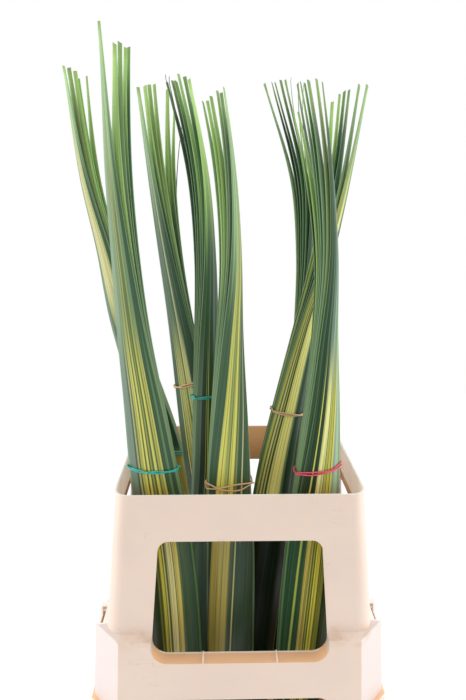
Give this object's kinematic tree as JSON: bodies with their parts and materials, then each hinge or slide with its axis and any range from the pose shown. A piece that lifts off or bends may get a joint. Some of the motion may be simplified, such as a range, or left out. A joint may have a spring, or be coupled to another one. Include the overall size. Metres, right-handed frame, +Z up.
{
  "type": "flower bucket of bunched screw pine leaves",
  "caption": "Rectangular plastic flower bucket with a tapered windowed collar, filled with bunches of long variegated screw pine leaves held by rubber bands.",
  "frame": {"origin": "middle of the bucket's underside, on the surface it stands on", "axes": "+Z up along the leaves, +X to the right along the broad side, -Y towards the front"},
  "size_m": [0.4334, 0.306, 0.998],
  "materials": {
    "bucket": "moulded cream plastic, slightly translucent, satin",
    "collar": "moulded cream plastic, slightly translucent, satin",
    "leaf": "waxy dark green leaf with yellow and pale stripes along it",
    "band_teal": "matt teal rubber",
    "band_tan": "matt natural rubber",
    "band_pink": "matt pink red rubber"
  },
  "bodies": {
    "root": {"bucket": "bucket", "collar": "collar", "leaf_a1": "leaf", "leaf_a2": "leaf", "leaf_a3": "leaf", "leaf_a4": "leaf", "leaf_a5": "leaf", "band_a": "band_teal", "leaf_b1": "leaf", "leaf_b2": "leaf", "leaf_b3": "leaf", "leaf_b4": "leaf", "leaf_b5": "leaf", "band_b": "band_teal", "leaf_c1": "leaf", "leaf_c2": "leaf", "leaf_c3": "leaf", "leaf_c4": "leaf", "leaf_c5": "leaf", "leaf_c6": "leaf", "band_c": "band_tan", "leaf_d1": "leaf", "leaf_d2": "leaf", "leaf_d3": "leaf", "leaf_d4": "leaf", "leaf_d5": "leaf", "leaf_d6": "leaf", "band_d": "band_teal", "leaf_e1": "leaf", "leaf_e2": "leaf", "leaf_e3": "leaf", "leaf_e4": "leaf", "leaf_e5": "leaf", "leaf_e6": "leaf", "band_e": "band_tan", "leaf_f1": "leaf", "leaf_f2": "leaf", "leaf_f3": "leaf", "leaf_f4": "leaf", "leaf_f5": "leaf", "leaf_f6": "leaf", "band_f": "band_tan", "leaf_g1": "leaf", "leaf_g2": "leaf", "leaf_g3": "leaf", "leaf_g4": "leaf", "leaf_g5": "leaf", "leaf_g6": "leaf", "leaf_g7": "leaf", "band_g": "band_pink", "leaf_h1": "leaf", "leaf_h2": "leaf", "leaf_h3": "leaf", "leaf_h4": "leaf", "leaf_h5": "leaf", "leaf_h6": "leaf", "band_h": "band_tan"}
  },
  "joints": []
}
